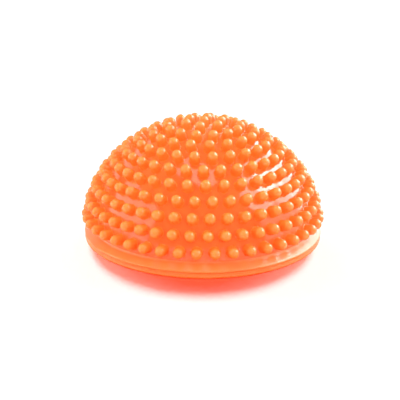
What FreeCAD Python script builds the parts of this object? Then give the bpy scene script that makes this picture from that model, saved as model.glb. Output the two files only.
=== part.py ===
import FreeCAD
import Part
import math
import os

# Inflatable half-ball massage dome: a soft hollow dome covered in rounded nubs, with a moulded rim,
# a recessed base and a push-in air plug. Millimetres, +Z up, origin at the centre of the rest plane.

# Dome skin: its outer profile is a crown arc and a shoulder arc that meet tangentially.
DOME_RADIUS = 72.7      # outer radius where the dome is widest
WIDEST_Z = 5.0          # height of that widest circle
SHOULDER_ARC = 60.5     # radius of the profile arc down the side
CROWN_ARC = 76.2        # radius of the profile arc over the top, centred on the axis
WALL = 2.2              # wall thickness of skin and base

# Rim: a sloping shelf runs out from the dome's side to a bead, with a groove and a lip below it.
RIM_RADIUS = 77.5       # outermost reach of the bead
BEAD_Z = 4.2            # height of that widest circle
BEAD_ROUND = 1.0
CREASE_Z = 8.0          # where the shelf meets the dome's side
GROOVE_RADIUS = 77.1
GROOVE_Z = 2.65
LIP_RADIUS = 77.4
LIP_ROUND = 1.1         # rounding of the lip down to the rest plane
RIM_INNER = 66.0
INNER_CHAMFER = 0.8

# Base: a flat panel set up inside the rim, with low grip ridges underneath.
BASE_RECESS = 2.2       # height of the panel's underside above the rest plane
RIDGE_RADII = (22.0, 34.0, 46.0, 58.0)
RIDGE_WIDTH = 3.0       # at the panel
RIDGE_TIP_WIDTH = 1.8   # along the lower edge
RIDGE_HEIGHT = 1.4

# Nubs: slightly conical pegs with a round tip, square to the skin.
NUB_HEIGHT = 7.3
NUB_TIP = 3.2           # radius of the round tip
NUB_ROOT = 3.5          # radius where the nub leaves the skin
NUB_SINK = 2.0          # extra length below the skin before the foot is trimmed to it
FIRST_RING_ARC = 99.61  # distance of the lowest ring from the pole, along the skin
RING_PITCH = 9.647      # distance between rings along the skin
TOP_RING_ARC = 11.24    # the small ring around the crown nub
# Nubs in each ring from the lowest up, and how far round the first one is, as a share of the spacing.
RING_COUNTS = (44, 44, 41, 38, 33, 30, 24, 18, 14, 6)
RING_PHASES = (0.69, 0.30, 0.41, 0.54, 0.15, 0.01, 0.52, 0.33, 0.57, 0.82)

# Air valve in the middle of the base, and its plug.
VALVE_RADIUS = 7.0      # hole in the base panel, filled by the valve body
COLLAR_RADIUS = 10.0
COLLAR_DROP = 0.8       # thickness of the collar under the base panel
SOCKET_RADIUS = 5.7     # recess that takes the plug's head
SOCKET_DEPTH = 1.6
TUBE_RADIUS = 5.4
TUBE_TOP = 16.0
BORE_RADIUS = 3.4
PLUG_HEAD_RADIUS = 5.5
PLUG_HEAD_GAP = 0.1     # air between the head and the floor of its recess
PLUG_SHANK_RADIUS = 2.9
PLUG_RIB_RADIUS = 3.35  # sealing ribs, a running fit in the bore
PLUG_RIB_COUNT = 3
PLUG_RIB_PITCH = 3.2
PLUG_RIB_HALF = 0.6
PLUG_TIP = 1.8
GRIP_BAR = (7.6, 1.8, 0.9)

SHOULDER_CENTRE_R = DOME_RADIUS - SHOULDER_ARC
CROWN_CENTRE_Z = WIDEST_Z - math.sqrt((CROWN_ARC - SHOULDER_ARC) ** 2 - SHOULDER_CENTRE_R ** 2)
JOIN_ANGLE = math.atan2(SHOULDER_CENTRE_R, WIDEST_Z - CROWN_CENTRE_Z)
BASE_TOP = BASE_RECESS + WALL
COLLAR_Z = BASE_RECESS - COLLAR_DROP
SOCKET_Z = COLLAR_Z + SOCKET_DEPTH

ORIGIN = FreeCAD.Vector(0, 0, 0)
UP = FreeCAD.Vector(0, 0, 1)


def at(r, z):
    """A point of a profile: r out from the axis, z up."""
    return FreeCAD.Vector(r, 0, z)


def line(start, end):
    return Part.LineSegment(start, end).toShape()


def arc(start, middle, end):
    return Part.Arc(start, middle, end).toShape()


def polyline(points):
    return [line(a, b) for a, b in zip(points, points[1:])]


def revolve(edges):
    """The solid that a closed profile sweeps about the vertical axis."""
    face = Part.Face(Part.Wire(Part.sortEdges(edges)[0]))
    return face.revolve(ORIGIN, UP, 360).Solids[0]


def round_point(centre_r, centre_z, radius, lean):
    """The point on a profile circle whose direction leans that far from the vertical."""
    return at(centre_r + radius * math.sin(lean), centre_z + radius * math.cos(lean))


def crown_point(lean, inset=0.0):
    return round_point(0, CROWN_CENTRE_Z, CROWN_ARC - inset, lean)


def shoulder_point(lean, inset=0.0):
    return round_point(SHOULDER_CENTRE_R, WIDEST_Z, SHOULDER_ARC - inset, lean)


def dome_profile(inset):
    """The dome's profile from the pole down to its widest circle, set in by a wall thickness."""
    side_middle = (JOIN_ANGLE + math.pi / 2) / 2
    crown = arc(crown_point(0, inset), crown_point(JOIN_ANGLE / 2, inset), crown_point(JOIN_ANGLE, inset))
    side = arc(
        shoulder_point(JOIN_ANGLE, inset),
        shoulder_point(side_middle, inset),
        shoulder_point(math.pi / 2, inset),
    )
    return [crown, side]


def dome_core():
    """Everything inside the dome's outer surface, used to trim the nubs' feet.

    It is turned a third so that its seam is clear of the XZ plane, where the nubs are trimmed."""
    floor = [line(at(DOME_RADIUS, WIDEST_Z), at(0, WIDEST_Z)), line(at(0, WIDEST_Z), crown_point(0))]
    core = revolve(dome_profile(0) + floor)
    core.rotate(ORIGIN, UP, 120)
    return core


def dome_skin():
    outer = dome_profile(0)
    inner = dome_profile(WALL)
    foot = line(at(DOME_RADIUS, WIDEST_Z), at(DOME_RADIUS - WALL, WIDEST_Z))
    pole = line(crown_point(0, WALL), crown_point(0))
    return revolve(outer + [foot] + inner + [pole])


def rim_flange():
    """A solid ring: the dome stands on its inner ledge, and its shelf laps up the dome's side."""
    crease_lean = math.acos((CREASE_Z - WIDEST_Z) / SHOULDER_ARC)
    crease = shoulder_point(crease_lean)
    lap_middle = shoulder_point((crease_lean + math.pi / 2) / 2)
    bead_r = RIM_RADIUS - BEAD_ROUND
    fall = crease.z - BEAD_Z
    run = bead_r - crease.x
    shelf_slope = math.atan2(fall, run) - math.asin(BEAD_ROUND / math.hypot(run, fall))
    shelf_end = round_point(bead_r, BEAD_Z, BEAD_ROUND, shelf_slope)
    bead_end = round_point(bead_r, BEAD_Z, BEAD_ROUND, math.radians(150))
    lip_r = LIP_RADIUS - LIP_ROUND
    lip_start = round_point(lip_r, LIP_ROUND, LIP_ROUND, math.radians(60))
    lip_middle = round_point(lip_r, LIP_ROUND, LIP_ROUND, math.radians(120))
    foot = at(lip_r, 0)
    edges = [
        arc(shoulder_point(math.pi / 2), lap_middle, crease),
        line(crease, shelf_end),
        arc(shelf_end, at(RIM_RADIUS, BEAD_Z), bead_end),
        arc(bead_end, at(GROOVE_RADIUS, GROOVE_Z), lip_start),
        arc(lip_start, lip_middle, foot),
    ]
    inside = [
        foot,
        at(RIM_INNER + INNER_CHAMFER, 0),
        at(RIM_INNER, INNER_CHAMFER),
        at(RIM_INNER, WIDEST_Z),
        at(DOME_RADIUS, WIDEST_Z),
    ]
    return revolve(edges + polyline(inside))


def base_panel():
    corners = [
        at(VALVE_RADIUS, BASE_RECESS),
        at(RIM_INNER, BASE_RECESS),
        at(RIM_INNER, BASE_TOP),
        at(VALVE_RADIUS, BASE_TOP),
        at(VALVE_RADIUS, BASE_RECESS),
    ]
    return revolve(polyline(corners))


def grip_ridges():
    """Low rings with sloping sides under the base panel."""
    ridges = []
    tip_z = BASE_RECESS - RIDGE_HEIGHT
    for radius in RIDGE_RADII:
        corners = [
            at(radius - RIDGE_WIDTH / 2, BASE_RECESS),
            at(radius - RIDGE_TIP_WIDTH / 2, tip_z),
            at(radius + RIDGE_TIP_WIDTH / 2, tip_z),
            at(radius + RIDGE_WIDTH / 2, BASE_RECESS),
            at(radius - RIDGE_WIDTH / 2, BASE_RECESS),
        ]
        ridges.append(revolve(polyline(corners)))
    return Part.makeCompound(ridges)


def valve_body():
    """A bush through the base panel: a collar below, a tube up into the air space, a recess for the head."""
    corners = [
        at(SOCKET_RADIUS, COLLAR_Z),
        at(COLLAR_RADIUS, COLLAR_Z),
        at(COLLAR_RADIUS, BASE_RECESS),
        at(VALVE_RADIUS, BASE_RECESS),
        at(VALVE_RADIUS, BASE_TOP),
        at(TUBE_RADIUS, BASE_TOP),
        at(TUBE_RADIUS, TUBE_TOP),
        at(BORE_RADIUS, TUBE_TOP),
        at(BORE_RADIUS, SOCKET_Z),
        at(SOCKET_RADIUS, SOCKET_Z),
        at(SOCKET_RADIUS, COLLAR_Z),
    ]
    return revolve(polyline(corners))


def valve_plug():
    """A flat head with a bar to pull it by, and a shank with sealing ribs and a blunt tip."""
    head_top = SOCKET_Z - PLUG_HEAD_GAP
    points = [at(0, COLLAR_Z), at(PLUG_HEAD_RADIUS, COLLAR_Z), at(PLUG_HEAD_RADIUS, head_top)]
    points.append(at(PLUG_SHANK_RADIUS, head_top))
    for number in range(PLUG_RIB_COUNT):
        rib_z = SOCKET_Z + PLUG_RIB_PITCH * (number + 0.75)
        points.append(at(PLUG_SHANK_RADIUS, rib_z - PLUG_RIB_HALF))
        points.append(at(PLUG_RIB_RADIUS, rib_z))
        points.append(at(PLUG_SHANK_RADIUS, rib_z + PLUG_RIB_HALF))
    points.append(at(PLUG_SHANK_RADIUS, TUBE_TOP - PLUG_TIP))
    points.append(at(PLUG_SHANK_RADIUS - PLUG_TIP / 2, TUBE_TOP))
    points.append(at(0, TUBE_TOP))
    points.append(at(0, COLLAR_Z))
    turned = revolve(polyline(points))
    length, width, height = GRIP_BAR
    corner = FreeCAD.Vector(-length / 2, -width / 2, COLLAR_Z - height)
    bar = Part.makeBox(length, width, height, corner)
    return turned.fuse(bar).removeSplitter().Solids[0]


def upright_nub():
    """One nub standing on the origin, reaching a little below it."""
    tip_z = NUB_HEIGHT - NUB_TIP
    taper = math.acos(NUB_TIP / math.hypot(NUB_ROOT, tip_z)) - math.atan2(tip_z, NUB_ROOT)
    shoulder = round_point(0, tip_z, NUB_TIP, math.pi / 2 - taper)
    tip_middle = round_point(0, tip_z, NUB_TIP, (math.pi / 2 - taper) / 2)
    foot_radius = NUB_ROOT + NUB_SINK * math.tan(taper)
    edges = [
        line(at(0, -NUB_SINK), at(foot_radius, -NUB_SINK)),
        line(at(foot_radius, -NUB_SINK), shoulder),
        arc(shoulder, tip_middle, at(0, NUB_HEIGHT)),
        line(at(0, NUB_HEIGHT), at(0, -NUB_SINK)),
    ]
    return revolve(edges)


def placed_nub(distance, core):
    """A nub square to the skin at that distance from the pole, in the XZ plane, its foot on the skin."""
    crown_length = CROWN_ARC * JOIN_ANGLE
    if distance <= crown_length:
        lean = distance / CROWN_ARC
        spot = crown_point(lean)
    else:
        lean = JOIN_ANGLE + (distance - crown_length) / SHOULDER_ARC
        spot = shoulder_point(lean)
    nub = upright_nub()
    nub.rotate(ORIGIN, FreeCAD.Vector(0, 1, 0), math.degrees(lean))
    nub.translate(spot)
    return nub.cut(core).Solids[0]


def nub_ring(distance, count, phase, core):
    """Equal nubs round the dome. Their angle is counted from -Y towards +X."""
    first = placed_nub(distance, core)
    nubs = []
    for number in range(count):
        nub = first.copy()
        nub.rotate(ORIGIN, UP, 360.0 * (number + phase) / count - 90.0)
        nubs.append(nub)
    return Part.makeCompound(nubs)


def ring_distances():
    """Distance of each ring from the pole along the skin, from the lowest up."""
    even = [FIRST_RING_ARC - RING_PITCH * number for number in range(len(RING_COUNTS) - 1)]
    return even + [TOP_RING_ARC]


def save(shape, node):
    shape.exportStep("parts/" + node + ".step")
    box = shape.optimalBoundingBox(False)
    sizes = "%7.2f %7.2f %7.2f" % (box.XLength, box.YLength, box.ZLength)
    print("%-14s solids %3d  valid %s  size %s" % (node, len(shape.Solids), shape.isValid(), sizes))


os.makedirs("parts", exist_ok=True)
save(dome_skin(), "dome_skin")
save(rim_flange(), "rim_flange")
save(base_panel(), "base_panel")
save(grip_ridges(), "grip_ridges")
save(valve_body(), "valve_body")
save(valve_plug(), "valve_plug")
trim = dome_core()
for index, ring_distance in enumerate(ring_distances()):
    ring = nub_ring(ring_distance, RING_COUNTS[index], RING_PHASES[index], trim)
    save(ring, "nub_ring_%02d" % (index + 1))
save(placed_nub(0, trim), "crown_nub")
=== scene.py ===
import bmesh
import bpy
import math
import numpy as np
from mathutils import Matrix, Vector


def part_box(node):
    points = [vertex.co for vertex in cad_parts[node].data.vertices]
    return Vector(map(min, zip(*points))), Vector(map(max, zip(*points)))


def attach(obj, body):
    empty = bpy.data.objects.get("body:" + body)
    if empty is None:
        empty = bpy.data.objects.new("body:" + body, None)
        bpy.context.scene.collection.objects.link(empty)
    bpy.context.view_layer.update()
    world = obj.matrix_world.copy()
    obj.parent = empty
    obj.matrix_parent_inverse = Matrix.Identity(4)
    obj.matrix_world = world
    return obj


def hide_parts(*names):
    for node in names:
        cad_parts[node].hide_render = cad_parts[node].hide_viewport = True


# Inflatable half-ball massage dome in glossy translucent PVC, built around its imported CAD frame.
# Metres, +Z up, origin at the centre of the rest plane. Azimuths count from -Y towards +X.

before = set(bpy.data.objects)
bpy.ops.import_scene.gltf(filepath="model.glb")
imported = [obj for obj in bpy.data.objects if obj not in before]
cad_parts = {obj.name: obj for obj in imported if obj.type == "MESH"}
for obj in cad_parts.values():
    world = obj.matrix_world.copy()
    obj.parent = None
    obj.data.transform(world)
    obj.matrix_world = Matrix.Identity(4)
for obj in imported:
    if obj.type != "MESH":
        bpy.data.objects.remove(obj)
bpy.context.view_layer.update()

MM = 0.001

# Dome skin: a crown arc and a shoulder arc that meet tangentially, as in the CAD part.
DOME_RADIUS = 72.7 * MM
WIDEST_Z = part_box("dome_skin")[0].z
SHOULDER_ARC = 60.5 * MM
CROWN_ARC = 76.2 * MM
WALL = 2.2 * MM
SHOULDER_CENTRE_R = DOME_RADIUS - SHOULDER_ARC
CROWN_CENTRE_Z = WIDEST_Z - math.sqrt((CROWN_ARC - SHOULDER_ARC) ** 2 - SHOULDER_CENTRE_R ** 2)
JOIN_ANGLE = math.atan2(SHOULDER_CENTRE_R, WIDEST_Z - CROWN_CENTRE_Z)

# Rim: a sloping shelf out to a bead, with a groove and a lip below it.
RIM_RADIUS = 77.5 * MM
BEAD_Z = 4.2 * MM
BEAD_ROUND = 1.0 * MM
CREASE_Z = 8.0 * MM
CREASE_FILLET = 0.9 * MM
LAP_SINK = 0.4 * MM  # how far the rim's upper edge is let into the skin
GROOVE_RADIUS = 77.1 * MM
GROOVE_Z = 2.65 * MM
LIP_RADIUS = 77.4 * MM
LIP_ROUND = 1.1 * MM
RIM_INNER = 66.0 * MM
INNER_CHAMFER = 0.8 * MM

# Base panel with its ridges, the valve and the plug.
BASE_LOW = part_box("base_panel")[0].z
BASE_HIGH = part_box("base_panel")[1].z
RIDGE_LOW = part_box("grip_ridges")[0].z
RIDGE_RADII = (22.0 * MM, 34.0 * MM, 46.0 * MM, 58.0 * MM)
RIDGE_WIDTH = 3.0 * MM
VALVE_RADIUS = 7.0 * MM
COLLAR_RADIUS = 10.0 * MM
COLLAR_Z = 1.4 * MM
SOCKET_RADIUS = 5.7 * MM
SOCKET_Z = 3.0 * MM
TUBE_RADIUS = 5.4 * MM
TUBE_TOP = 16.0 * MM
VALVE_ROUND = 0.25 * MM
BORE_RADIUS = 3.4 * MM
PLUG_HEAD_RADIUS = 5.5 * MM
PLUG_HEAD_TOP = 2.9 * MM
PLUG_SHANK_RADIUS = 2.9 * MM
PLUG_RIB_RADIUS = 3.35 * MM
PLUG_RIB_HEIGHTS = (5.4 * MM, 8.6 * MM, 11.8 * MM)
PLUG_RIB_HALF = 0.6 * MM
PLUG_TIP = 1.8 * MM
PLUG_ROUND = 0.3 * MM
GRIP_BAR = (7.6 * MM, 1.8 * MM, 0.9 * MM)
GRIP_BAR_ROOT = 0.3 * MM  # how far the bar reaches up into the head
GRIP_BAR_ROUND = 0.28 * MM

# Nubs: rounded, slightly conical pegs with a small fillet where they leave the skin.
NUB_HEIGHT = 7.3 * MM
NUB_TIP = 3.2 * MM
NUB_ROOT = 3.5 * MM
NUB_FILLET = 0.45 * MM
NUB_SINK = 0.3 * MM  # how far the edge of a nub's foot is let into the skin
NUB_SEGMENTS = 32
FIRST_RING_ARC = 99.61 * MM
RING_PITCH = 9.647 * MM
TOP_RING_ARC = 11.24 * MM
RING_COUNTS = (44, 44, 41, 38, 33, 30, 24, 18, 14, 6)
RING_PHASES = (0.69, 0.30, 0.41, 0.54, 0.15, 0.01, 0.52, 0.33, 0.57, 0.82)

# Camera: where the eye is, and the point of the picture plane through the origin that it aims at.
EYE_ELEVATION = 21.11
EYE_DISTANCE = 577.6 * MM
LENS = 78.1
AIM_UP = 20.82 * MM
AIM_LEFT = 1.92 * MM
CAMERA_ROLL = 0.43

# Studio: a floor just under the rest plane, a wall round it, and lights that aim at one point.
FLOOR_Z = -0.1 * MM
FLOOR_SIZE = 12.0
WALL_RADIUS = 5.8
WALL_HEIGHT = 3.0
WALL_SEGMENTS = 64
STUDIO_CENTRE = Vector((0, 0, 35 * MM))
FILL_ANGLE = 150

PVC_IOR = 1.53


def direction(azimuth, elevation):
    """Unit vector towards an azimuth and elevation in degrees."""
    a = math.radians(azimuth)
    e = math.radians(elevation)
    return Vector((math.sin(a) * math.cos(e), -math.cos(a) * math.cos(e), math.sin(e)))


# ---------------------------------------------------------------- camera and light


def make_camera():
    """The camera, aimed by the constants above and rolled a little."""
    data = bpy.data.cameras.new("camera")
    data.lens = LENS
    data.sensor_width = 36.0
    data.clip_start = 0.01
    data.clip_end = 50.0
    camera = bpy.data.objects.new("camera", data)
    bpy.context.scene.collection.objects.link(camera)
    eye = direction(0, EYE_ELEVATION) * EYE_DISTANCE
    up = direction(180, 90 - EYE_ELEVATION)
    target = up * AIM_UP + Vector((-AIM_LEFT, 0, 0))
    look = (target - eye).to_track_quat("-Z", "Y").to_matrix().to_4x4()
    roll = Matrix.Rotation(math.radians(CAMERA_ROLL), 4, "Z")
    camera.matrix_world = Matrix.Translation(eye) @ look @ roll
    bpy.context.scene.camera = camera


def set_colour():
    """Plain colour, with no film look."""
    view = bpy.context.scene.view_settings
    view.view_transform = "Standard"
    view.look = "None"
    view.exposure = 0.0
    view.gamma = 1.0


def make_world():
    """A faint white surrounding light."""
    world = bpy.data.worlds.new("studio")
    bpy.context.scene.world = world
    world.use_nodes = True
    back = world.node_tree.nodes["Background"]
    back.inputs["Color"].default_value = (1.0, 1.0, 1.0, 1.0)
    back.inputs["Strength"].default_value = 0.05


def make_floor():
    """The plain matt floor."""
    bpy.ops.mesh.primitive_plane_add(size=FLOOR_SIZE, location=(0, 0, FLOOR_Z))
    floor = bpy.context.object
    floor.name = "floor"
    material = bpy.data.materials.new("floor_white")
    material.use_nodes = True
    shader = material.node_tree.nodes["Principled BSDF"]
    shader.inputs["Base Color"].default_value = (0.92, 0.92, 0.92, 1)
    shader.inputs["Roughness"].default_value = 0.9
    shader.inputs["Specular IOR Level"].default_value = 0.0
    floor.data.materials.append(material)
    return floor


def make_backdrop():
    """A white wall round the floor. It is kept out of the gloss and the fill light."""
    points = []
    for step in range(WALL_SEGMENTS):
        turn = 2 * math.pi * step / WALL_SEGMENTS
        for z in (FLOOR_Z, WALL_HEIGHT):
            points.append((WALL_RADIUS * math.cos(turn), WALL_RADIUS * math.sin(turn), z))
    faces = []
    for step in range(WALL_SEGMENTS):
        here = 2 * step
        there = 2 * ((step + 1) % WALL_SEGMENTS)
        faces.append((here, there, there + 1, here + 1))
    wall = mesh_object("backdrop", points, faces)
    material = bpy.data.materials.new("backdrop_white")
    material.use_nodes = True
    shader = material.node_tree.nodes["Principled BSDF"]
    shader.inputs["Base Color"].default_value = (0, 0, 0, 1)
    shader.inputs["Specular IOR Level"].default_value = 0.0
    shader.inputs["Emission Color"].default_value = (1, 1, 1, 1)
    shader.inputs["Emission Strength"].default_value = 1.0
    wall.data.materials.append(material)
    wall.visible_diffuse = False
    wall.visible_glossy = False
    wall.visible_transmission = False
    wall.visible_shadow = False


def softbox(name, azimuth, elevation, distance, width, height, radiance):
    """A rectangular area light seen from the ball at that azimuth and elevation, facing it."""
    data = bpy.data.lights.new(name, "AREA")
    data.shape = "RECTANGLE"
    data.size = width
    data.size_y = height
    data.energy = radiance * math.pi * width * height
    light = bpy.data.objects.new(name, data)
    bpy.context.scene.collection.objects.link(light)
    way = direction(azimuth, elevation)
    light.location = STUDIO_CENTRE + way * distance
    light.rotation_euler = (-way).to_track_quat("-Z", "Y").to_euler()
    return light


def sun(name, azimuth, elevation, strength, angle, tint=(1, 1, 1)):
    """Light from far away, whose softness grows with its angle in degrees."""
    data = bpy.data.lights.new(name, "SUN")
    data.energy = strength
    data.angle = math.radians(angle)
    data.color = tint
    light = bpy.data.objects.new(name, data)
    bpy.context.scene.collection.objects.link(light)
    light.rotation_euler = (-direction(azimuth, elevation)).to_track_quat("-Z", "Y").to_euler()
    return light


def group(name, pieces):
    """A collection that lights can be linked to."""
    collection = bpy.data.collections.new(name)
    for piece in pieces:
        collection.objects.link(piece)
    return collection


def light_ball(ball):
    """Windows and panels that the gloss mirrors, and wide soft fills without reflections.

    The windows show in the gloss alone, so that the side next to them isn't washed out.
    """
    lit_ball = group("lit_ball", ball)
    # Name, azimuth, elevation, distance, width, height and radiance.
    windows = [
        softbox("window_core", 104, 40, 1.2, 0.60, 0.42, 9.0),
        softbox("window_wide", 101, 42, 1.25, 1.60, 0.75, 4.8),
        softbox("window_far", 140, 16, 1.2, 0.95, 0.85, 5.0),
        softbox("window_low", 108, 19, 1.2, 0.52, 0.36, 3.5),
    ]
    for window in windows:
        window.visible_diffuse = False
    lights = windows + [
        softbox("panel_right", 92, 10, 1.3, 1.40, 0.85, 1.5),
        softbox("panel_left", -84, 17, 1.2, 1.40, 0.95, 2.0),
        softbox("panel_back_left", -150, 16, 1.2, 0.80, 0.60, 0.9),
        softbox("panel_top", -41, 84, 1.2, 0.80, 0.46, 2.7),
    ]
    # Each fill is two suns: a soft one with shadows and a flat one without.
    for name, azimuth, elevation, soft, flat in (
        ("front", 0, 15, 0.8, 0.8),
        ("left", -95, 15, 0.6, 0.6),
        ("right", 95, 22, 1.6, 1.2),
        ("back", 180, 25, 0.75, 0.35),
        ("top", 0, 88, 1.15, 0.5),
        ("under", 0, -45, 1.2, 1.3),
    ):
        for kind, strength in (("soft_", soft), ("flat_", flat)):
            fill = sun(kind + name, azimuth, elevation, strength, FILL_ANGLE)
            fill.data.use_shadow = kind == "soft_"
            fill.visible_glossy = False
            lights.append(fill)
    for light in lights:
        light.light_linking.receiver_collection = lit_ball


def light_floor(floor, shell):
    """Back light. The translucent shell stops its green and blue and lets its red through."""
    lit_floor = group("lit_floor", [floor])
    shading_shell = group("shading_shell", shell)
    passed = Vector((0.93, 0.035, 0.0))
    # Name, azimuth, elevation, strength, angle, and how much blue the stopped light has.
    for name, azimuth, elevation, strength, angle, blue in (
        ("edge", 178, 46, 3.3, 10, 1.0),
        ("slope", 178, 52, 0.3, 22, 0.5),
        ("side_left", -145, 31, 1.25, 30, 1.0),
        ("side_right", 145, 34, 1.1, 28, 1.0),
    ):
        stopped = Vector((1, 1, blue)) - passed
        blocked = sun(name + "_stopped", azimuth, elevation, strength, angle, stopped)
        blocked.light_linking.receiver_collection = lit_floor
        blocked.light_linking.blocker_collection = shading_shell
        # The passed light falls on the floor as if the ball weren't there.
        free = sun(name + "_passed", azimuth, elevation, strength, angle, passed)
        free.light_linking.receiver_collection = lit_floor
        free.light_linking.blocker_collection = lit_floor


# ---------------------------------------------------------------- mesh helpers


def mesh_object(name, points, faces):
    """A smooth-shaded mesh in the scene."""
    mesh = bpy.data.meshes.new(name)
    mesh.from_pydata([tuple(p) for p in points], [], faces)
    mesh.update()
    for polygon in mesh.polygons:
        polygon.use_smooth = True
    piece = bpy.data.objects.new(name, mesh)
    bpy.context.scene.collection.objects.link(piece)
    return piece


def clean(piece):
    """Merge doubled points and turn every face outward."""
    work = bmesh.new()
    work.from_mesh(piece.data)
    bmesh.ops.remove_doubles(work, verts=work.verts, dist=1e-7)
    bmesh.ops.dissolve_degenerate(work, edges=work.edges, dist=1e-8)
    bmesh.ops.recalc_face_normals(work, faces=work.faces)
    work.to_mesh(piece.data)
    work.free()


def spot(centre_r, centre_z, radius, lean):
    """The (r, z) point on a profile circle that leans that many degrees from straight up."""
    turn = math.radians(lean)
    return centre_r + radius * math.sin(turn), centre_z + radius * math.cos(turn)


def bow(centre_r, centre_z, radius, start, end, steps):
    """Points along a profile circle from one lean to another."""
    return [
        spot(centre_r, centre_z, radius, start + (end - start) * step / steps)
        for step in range(steps + 1)
    ]


def through(first, middle, last, steps):
    """Points along the circle arc that runs through three (r, z) points."""
    ax, ay = first
    bx, by = middle
    cx, cy = last
    d = 2 * (ax * (by - cy) + bx * (cy - ay) + cx * (ay - by))
    a2 = ax * ax + ay * ay
    b2 = bx * bx + by * by
    c2 = cx * cx + cy * cy
    ox = (a2 * (by - cy) + b2 * (cy - ay) + c2 * (ay - by)) / d
    oy = (a2 * (cx - bx) + b2 * (ax - cx) + c2 * (bx - ax)) / d
    start = math.atan2(ay - oy, ax - ox)
    end = math.atan2(cy - oy, cx - ox)
    turn = (end - start + math.pi) % (2 * math.pi) - math.pi
    radius = math.hypot(ax - ox, ay - oy)
    found = []
    for step in range(steps + 1):
        angle = start + turn * step / steps
        found.append((ox + radius * math.cos(angle), oy + radius * math.sin(angle)))
    return found


def blended(start, corner, end, steps):
    """Points along the smooth curve that rounds off a corner between two points on its sides."""
    found = []
    for step in range(steps + 1):
        share = step / steps
        point = start * (1 - share) ** 2 + corner * 2 * share * (1 - share) + end * share ** 2
        found.append((point.x, point.y))
    return found


def rounded(corners, radius, steps=3):
    """A closed profile whose corners are rounded, each by no more than a third of its sides."""
    found = []
    count = len(corners)
    for index, corner in enumerate(corners):
        here = Vector(corner)
        to_last = Vector(corners[index - 1]) - here
        to_next = Vector(corners[(index + 1) % count]) - here
        cut = min(radius, to_last.length / 3, to_next.length / 3)
        if here.x < 1e-6:
            found.append(corner)
            continue
        start = here + to_last.normalized() * cut
        end = here + to_next.normalized() * cut
        found += blended(start, here, end, steps)
    return found


def lathe(name, profile, segments):
    """A solid of revolution from a closed profile of (r, z) points about the vertical axis."""
    count = len(profile)
    points = []
    for number in range(segments):
        turn = 2 * math.pi * number / segments
        for r, z in profile:
            points.append((r * math.cos(turn), r * math.sin(turn), z))
    faces = []
    for number in range(segments):
        here = number * count
        there = ((number + 1) % segments) * count
        for step in range(count):
            follow = (step + 1) % count
            faces.append((here + step, there + step, there + follow, here + follow))
    piece = mesh_object(name, points, faces)
    clean(piece)
    return piece


# ---------------------------------------------------------------- materials


class Nodes:
    """Short names for building one material's node tree."""

    def __init__(self, name):
        self.material = bpy.data.materials.new(name)
        self.material.use_nodes = True
        self.tree = self.material.node_tree
        self.shader = self.tree.nodes["Principled BSDF"]

    def add(self, kind, **values):
        node = self.tree.nodes.new(kind)
        for key, value in values.items():
            setattr(node, key, value)
        return node

    def join(self, source, target):
        self.tree.links.new(source, target)

    def noise(self, scale, detail=2.0):
        """Noise with that many waves per metre."""
        node = self.add("ShaderNodeTexNoise")
        node.inputs["Scale"].default_value = scale
        node.inputs["Detail"].default_value = detail
        self.join(self.add("ShaderNodeTexCoord").outputs["Object"], node.inputs["Vector"])
        return node.outputs["Fac"]

    def height(self):
        """How far up a point is, in metres."""
        node = self.add("ShaderNodeSeparateXYZ")
        self.join(self.add("ShaderNodeTexCoord").outputs["Object"], node.inputs["Vector"])
        return node.outputs["Z"]

    def ramp(self, factor, stops):
        """A colour that changes from stop to stop as the factor goes from 0 to 1."""
        node = self.add("ShaderNodeValToRGB")
        while len(node.color_ramp.elements) < len(stops):
            node.color_ramp.elements.new(0.5)
        for element, (position, colour) in zip(node.color_ramp.elements, stops):
            element.position = position
            element.color = (*colour, 1)
        self.join(factor, node.inputs["Fac"])
        return node.outputs["Color"]

    def remap(self, factor, low, high, start=0.0, end=1.0):
        """Low to high as the factor goes from start to end."""
        node = self.add("ShaderNodeMapRange")
        node.inputs["From Min"].default_value = start
        node.inputs["From Max"].default_value = end
        node.inputs["To Min"].default_value = low
        node.inputs["To Max"].default_value = high
        self.join(factor, node.inputs["Value"])
        return node.outputs["Result"]

    def multiply(self, first, second):
        node = self.add("ShaderNodeMix", data_type="RGBA", blend_type="MULTIPLY")
        node.inputs["Factor"].default_value = 1.0
        self.join(first, node.inputs["A"])
        self.join(second, node.inputs["B"])
        return node.outputs["Result"]

    def bump(self, height, strength, distance, below=None):
        """A bumped surface, on top of another one if that is given."""
        node = self.add("ShaderNodeBump")
        node.inputs["Strength"].default_value = strength
        node.inputs["Distance"].default_value = distance
        self.join(height, node.inputs["Height"])
        if below is not None:
            self.join(below, node.inputs["Normal"])
        return node.outputs["Normal"]


def soft_pvc(n, colour, roughness, depth, weight):
    """Translucent PVC: a moulded surface with a faint waviness and a fine grain."""
    shader = n.shader
    n.join(colour, shader.inputs["Base Color"])
    n.join(n.remap(n.noise(900.0), *roughness), shader.inputs["Roughness"])
    wave = n.bump(n.noise(130.0, detail=1.0), strength=0.12, distance=0.4 * MM)
    grain = n.bump(n.noise(1400.0), strength=0.05, distance=0.15 * MM, below=wave)
    n.join(grain, shader.inputs["Normal"])
    shader.inputs["IOR"].default_value = PVC_IOR
    shader.inputs["Subsurface Weight"].default_value = weight
    shader.inputs["Subsurface Radius"].default_value = (1.0, 0.45, 0.2)
    shader.inputs["Subsurface Scale"].default_value = depth
    return n.material


def pvc_skin_painted_shade():
    """The dome's skin: the glossiest; its deeper orange than the nubs is partly its own colour and
    partly painted shade for the gaps between the nubs.
    """
    n = Nodes("pvc_skin_painted_shade")
    # Partly painted shade: the skin is darker than the nubs, standing in for the shade that falls
    # in the gaps between them.
    colour = n.ramp(n.noise(45.0, 3.0), [(0.3, (0.97, 0.124, 0.021)), (0.7, (0.99, 0.146, 0.027))])
    return soft_pvc(n, colour, roughness=(0.06, 0.13), depth=5.0 * MM, weight=0.5)


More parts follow.
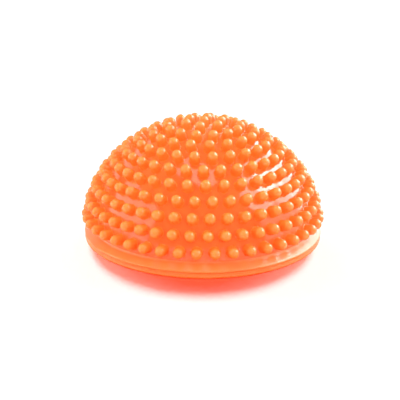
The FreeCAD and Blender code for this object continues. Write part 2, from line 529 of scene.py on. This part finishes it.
def pvc_nub_painted_light():
    """The nubs: duller, and yellower and lighter than the skin, partly their own colour and partly
    painted light; the painted light is strongest at their tips.
    """
    n = Nodes("pvc_nub_painted_light")
    reach = n.add("ShaderNodeAttribute", attribute_name="reach").outputs["Fac"]
    # Painted light and shade: the colour lightens from the foot, where shade falls, to the tip,
    # where light falls.
    stops = [(0.0, (0.98, 0.192, 0.022)), (0.5, (0.99, 0.192, 0.024)), (1.0, (1.0, 0.198, 0.028))]
    tone = n.ramp(n.noise(160.0, 3.0), [(0.3, (0.97, 0.95, 0.93)), (0.7, (1.0, 1.0, 1.0))])
    colour = n.multiply(n.ramp(reach, stops), tone)
    return soft_pvc(n, colour, roughness=(0.2, 0.28), depth=1.5 * MM, weight=0.4)


def pvc_rim():
    """The rim: between the skin and the nubs in colour, with a satin finish."""
    n = Nodes("pvc_rim")
    colour = n.ramp(n.noise(45.0, 3.0), [(0.3, (0.98, 0.165, 0.028)), (0.7, (1.0, 0.182, 0.033))])
    return soft_pvc(n, colour, roughness=(0.3, 0.35), depth=2.0 * MM, weight=0.5)


def pvc_base():
    """The underside: duller, with scuffed ridge tops."""
    n = Nodes("pvc_base")
    scuffed = n.remap(n.height(), 1.0, 0.0, RIDGE_LOW, RIDGE_LOW + 0.7 * MM)
    body = n.ramp(scuffed, [(0.0, (0.93, 0.14, 0.028)), (1.0, (0.97, 0.24, 0.09))])
    tone = n.ramp(n.noise(260.0, 4.0), [(0.3, (0.94, 0.9, 0.88)), (0.7, (1.0, 1.0, 1.0))])
    colour = n.multiply(body, tone)
    return soft_pvc(n, colour, roughness=(0.34, 0.5), depth=3.0 * MM, weight=0.3)


def pvc_valve():
    """The valve bush: a darker, firmer PVC."""
    n = Nodes("pvc_valve")
    colour = n.ramp(n.noise(300.0, 3.0), [(0.3, (0.7, 0.1, 0.02)), (0.7, (0.78, 0.12, 0.026))])
    return soft_pvc(n, colour, roughness=(0.3, 0.42), depth=2.0 * MM, weight=0.2)


def plug_plastic():
    """The plug: opaque off-white plastic with fine specks."""
    n = Nodes("plug_plastic")
    body = n.ramp(n.noise(220.0, 3.0), [(0.3, (0.8, 0.78, 0.7)), (0.7, (0.86, 0.84, 0.77))])
    specks = n.ramp(n.noise(1600.0, 4.0), [(0.3, (0.9, 0.88, 0.85)), (0.5, (1.0, 1.0, 1.0))])
    n.join(n.multiply(body, specks), n.shader.inputs["Base Color"])
    n.join(n.remap(n.noise(900.0), 0.34, 0.5), n.shader.inputs["Roughness"])
    grain = n.bump(n.noise(1800.0), strength=0.12, distance=0.15 * MM)
    n.join(grain, n.shader.inputs["Normal"])
    return n.material


# ---------------------------------------------------------------- pieces


def finish(piece, material, slot, body, *nodes):
    """Give a piece its material, hide the CAD parts it stands for and hang it on the body it rides
    on; the slot is not used.
    """
    piece.data.materials.append(material)
    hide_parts(*nodes)
    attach(piece, body)
    return piece


def skin_at_height(z):
    """The (r, z) point low on the dome's side at that height."""
    return Vector((SHOULDER_CENTRE_R + math.sqrt(SHOULDER_ARC ** 2 - (z - WIDEST_Z) ** 2), z))


def dome_profile(inset, steps):
    """The dome's profile from the pole down to its widest circle."""
    join = math.degrees(JOIN_ANGLE)
    crown = bow(0, CROWN_CENTRE_Z, CROWN_ARC - inset, 0, join, steps)
    side = bow(SHOULDER_CENTRE_R, WIDEST_Z, SHOULDER_ARC - inset, join, 90, steps)
    return crown + side[1:]


def make_skin(material):
    """The hollow dome, open at its widest circle."""
    outer = dome_profile(0, 40)
    inner = dome_profile(WALL, 24)
    piece = lathe("dome_bladder", outer + inner[::-1], segments=240)
    return finish(piece, material, "skin", "bladder", "dome_skin")


def rim_profile():
    """The rim from its lap on the skin, over shelf, bead, groove and lip, to its inner wall."""
    crease = skin_at_height(CREASE_Z)
    fillet_top = skin_at_height(CREASE_Z + CREASE_FILLET)
    lap_lean = math.degrees(math.acos((fillet_top.y - WIDEST_Z) / SHOULDER_ARC))
    lap = bow(SHOULDER_CENTRE_R, WIDEST_Z, SHOULDER_ARC - LAP_SINK, 90, lap_lean, 5)

    bead_r = RIM_RADIUS - BEAD_ROUND
    to_bead = Vector((bead_r, BEAD_Z)) - crease
    slope = math.atan2(-to_bead.y, to_bead.x) - math.asin(BEAD_ROUND / to_bead.length)
    bead = bow(bead_r, BEAD_Z, BEAD_ROUND, math.degrees(slope), 150, 14)
    shelf_start = crease + (Vector(bead[0]) - crease).normalized() * CREASE_FILLET
    fillet = blended(fillet_top, crease, shelf_start, 6)
    shelf = [tuple(shelf_start.lerp(Vector(bead[0]), step / 8)) for step in range(1, 8)]

    lip = bow(LIP_RADIUS - LIP_ROUND, LIP_ROUND, LIP_ROUND, 60, 180, 10)
    groove = through(bead[-1], (GROOVE_RADIUS, GROOVE_Z), lip[0], 8)
    inside = [
        (RIM_INNER + INNER_CHAMFER, 0),
        (RIM_INNER, INNER_CHAMFER),
        (RIM_INNER, WIDEST_Z),
    ]
    return lap + fillet + shelf + bead + groove[1:] + lip[1:] + inside


def make_rim(material):
    piece = lathe("rim_moulding", rim_profile(), segments=320)
    return finish(piece, material, "skin", "bladder", "rim_flange")


def sole_profile():
    """The base panel with smoothly rounded ridges along its underside."""
    depth = BASE_LOW - RIDGE_LOW
    found = [(VALVE_RADIUS, BASE_HIGH), (VALVE_RADIUS, BASE_LOW)]
    steps = 14
    for radius in RIDGE_RADII:
        for step in range(steps + 1):
            share = 2 * step / steps - 1
            fall = math.cos(share * math.pi / 2) ** 2
            found.append((radius + share * RIDGE_WIDTH / 2, BASE_LOW - depth * fall))
    found += [(RIM_INNER, BASE_LOW), (RIM_INNER, BASE_HIGH)]
    return found


def make_sole(material):
    piece = lathe("base_sole", sole_profile(), segments=240)
    return finish(piece, material, "skin", "bladder", "base_panel", "grip_ridges")


def make_valve(material):
    """The valve bush: a collar, a socket for the plug's head, and a tube."""
    corners = [
        (SOCKET_RADIUS, COLLAR_Z),
        (COLLAR_RADIUS, COLLAR_Z),
        (COLLAR_RADIUS, BASE_LOW),
        (VALVE_RADIUS, BASE_LOW),
        (VALVE_RADIUS, BASE_HIGH),
        (TUBE_RADIUS, BASE_HIGH),
        (TUBE_RADIUS, TUBE_TOP),
        (BORE_RADIUS, TUBE_TOP),
        (BORE_RADIUS, SOCKET_Z),
        (SOCKET_RADIUS, SOCKET_Z),
    ]
    piece = lathe("valve_bush", rounded(corners, VALVE_ROUND), segments=96)
    return finish(piece, material, "valve", "bladder", "valve_body")


def plug_profile():
    """The plug's head, its ribbed shank and its tapered tip."""
    corners = [
        (0, COLLAR_Z),
        (PLUG_HEAD_RADIUS, COLLAR_Z),
        (PLUG_HEAD_RADIUS, PLUG_HEAD_TOP),
        (PLUG_SHANK_RADIUS, PLUG_HEAD_TOP),
    ]
    for z in PLUG_RIB_HEIGHTS:
        corners.append((PLUG_SHANK_RADIUS, z - PLUG_RIB_HALF))
        corners.append((PLUG_RIB_RADIUS, z))
        corners.append((PLUG_SHANK_RADIUS, z + PLUG_RIB_HALF))
    corners.append((PLUG_SHANK_RADIUS, TUBE_TOP - PLUG_TIP))
    corners.append((PLUG_SHANK_RADIUS - PLUG_TIP / 2, TUBE_TOP))
    corners.append((0, TUBE_TOP))
    return rounded(corners, PLUG_ROUND)


def add_grip_bar(piece):
    """The rounded bar across the underside of the plug's head."""
    length, width, height = GRIP_BAR
    work = bmesh.new()
    work.from_mesh(piece.data)
    size = Matrix.Diagonal((length, width, height + GRIP_BAR_ROOT, 1))
    place = Matrix.Translation((0, 0, COLLAR_Z - height / 2 + GRIP_BAR_ROOT / 2))
    made = bmesh.ops.create_cube(work, size=1.0, matrix=place @ size)
    edges = list({edge for vert in made["verts"] for edge in vert.link_edges})
    bmesh.ops.bevel(
        work, geom=edges, offset=GRIP_BAR_ROUND, segments=3, profile=0.5, affect="EDGES"
    )
    for face in work.faces:
        face.smooth = True
    work.to_mesh(piece.data)
    work.free()


def make_plug(material):
    piece = lathe("air_plug", plug_profile(), segments=72)
    add_grip_bar(piece)
    return finish(piece, material, "plug", "plug", "valve_plug")


def skin_spot(distance):
    """Radius, height and lean of the skin at that distance from the pole."""
    crown_length = CROWN_ARC * JOIN_ANGLE
    if distance <= crown_length:
        lean = distance / CROWN_ARC
        return CROWN_ARC * math.sin(lean), CROWN_CENTRE_Z + CROWN_ARC * math.cos(lean), lean
    lean = JOIN_ANGLE + (distance - crown_length) / SHOULDER_ARC
    r = SHOULDER_CENTRE_R + SHOULDER_ARC * math.sin(lean)
    return r, WIDEST_Z + SHOULDER_ARC * math.cos(lean), lean


def nub_profile():
    """(radius, height) from the filleted foot to the tip of a nub."""
    tip_z = NUB_HEIGHT - NUB_TIP
    taper = math.acos(NUB_TIP / math.hypot(NUB_ROOT, tip_z)) - math.atan2(tip_z, NUB_ROOT)
    fillet_r = NUB_ROOT + NUB_FILLET * (1 - math.sin(taper)) / math.cos(taper)
    lean = math.degrees(taper)
    fillet = bow(fillet_r, NUB_FILLET, NUB_FILLET, 180, 270 - lean, 5)
    tip = bow(0, tip_z, NUB_TIP, 90 - lean, 0, 10)
    foot = Vector(fillet[-1])
    neck = Vector(tip[0])
    middle = [tuple(foot.lerp(neck, share)) for share in (0.33, 0.67)]
    return fillet + middle + tip


def nub_faces(base, rows):
    """The side, tip and foot of a nub whose points start at that index."""
    faces = []
    for row in range(rows - 1):
        for step in range(NUB_SEGMENTS):
            a = base + row * NUB_SEGMENTS + step
            b = base + row * NUB_SEGMENTS + (step + 1) % NUB_SEGMENTS
            faces.append((a, b, b + NUB_SEGMENTS, a + NUB_SEGMENTS))
    top = base + rows * NUB_SEGMENTS
    ring = base + (rows - 1) * NUB_SEGMENTS
    for step in range(NUB_SEGMENTS):
        faces.append((ring + step, ring + (step + 1) % NUB_SEGMENTS, top))
    faces.append(tuple(base + step for step in reversed(range(NUB_SEGMENTS))))
    return faces


def nub_points(profile, azimuth, distance):
    """One nub's points. The lower half follows the curve of the skin at its foot."""
    r, z, lean = skin_spot(distance)
    meridian = CROWN_ARC if lean <= JOIN_ANGLE else SHOULDER_ARC
    parallel = r / math.sin(lean) if lean > 0.01 else CROWN_ARC
    outward = Vector((math.sin(azimuth), -math.cos(azimuth), 0))
    along = Vector((math.cos(azimuth), math.sin(azimuth), 0))
    normal = outward * math.sin(lean) + Vector((0, 0, math.cos(lean)))
    down = outward * math.cos(lean) - Vector((0, 0, math.sin(lean)))
    foot = outward * r + Vector((0, 0, z))
    points = []
    for row, (radius, height) in enumerate(profile[:-1]):
        sink = NUB_SINK if row == 0 else 0.0
        follow = max(0.0, 1 - 2 * height / NUB_HEIGHT)
        for step in range(NUB_SEGMENTS):
            angle = 2 * math.pi * step / NUB_SEGMENTS
            x = radius * math.cos(angle)
            y = radius * math.sin(angle)
            drop = (x * x / (2 * parallel) + y * y / (2 * meridian)) * follow
            points.append(foot + along * x + down * y + normal * (height - drop - sink))
    points.append(foot + normal * NUB_HEIGHT)
    return points


def nub_reach(profile):
    """How far up its nub each of a nub's points is, from 0 to 1."""
    found = []
    for radius, height in profile[:-1]:
        found += [height / NUB_HEIGHT] * NUB_SEGMENTS
    return found + [1.0]


def make_nubs(name, node, distance, count, phase, material):
    """One ring of nubs as one piece, at that distance from the pole along the skin."""
    profile = nub_profile()
    points = []
    faces = []
    for number in range(count):
        azimuth = math.radians((number + phase) * 360.0 / count)
        faces += nub_faces(len(points), len(profile) - 1)
        points += nub_points(profile, azimuth, distance)
    piece = mesh_object(name, points, faces)
    # The reach drives the nubs' painted light, lighter towards the tips.
    store = piece.data.attributes.new("reach", "FLOAT", "POINT")
    store.data.foreach_set("value", np.array(nub_reach(profile) * count, np.float32))
    clean(piece)
    return finish(piece, material, "nub", "bladder", node)


def make_all_nubs(material):
    """The ten rings, from the lowest up, and the nub on the crown."""
    pieces = []
    for index, (count, phase) in enumerate(zip(RING_COUNTS, RING_PHASES)):
        last = index == len(RING_COUNTS) - 1
        distance = TOP_RING_ARC if last else FIRST_RING_ARC - RING_PITCH * index
        number = "%02d" % (index + 1)
        name = "nubs_" + number
        node = "nub_ring_" + number
        pieces.append(make_nubs(name, node, distance, count, phase, material))
    pieces.append(make_nubs("nub_crown", "crown_nub", 0.0, 1, 0.0, material))
    return pieces


make_camera()
set_colour()
make_world()
floor = make_floor()
make_backdrop()

skin = make_skin(pvc_skin_painted_shade())
rim = make_rim(pvc_rim())
ball = [skin, rim, make_sole(pvc_base()), make_valve(pvc_valve()), make_plug(plug_plastic())]
ball += make_all_nubs(pvc_nub_painted_light())
light_ball(ball)
light_floor(floor, [skin])
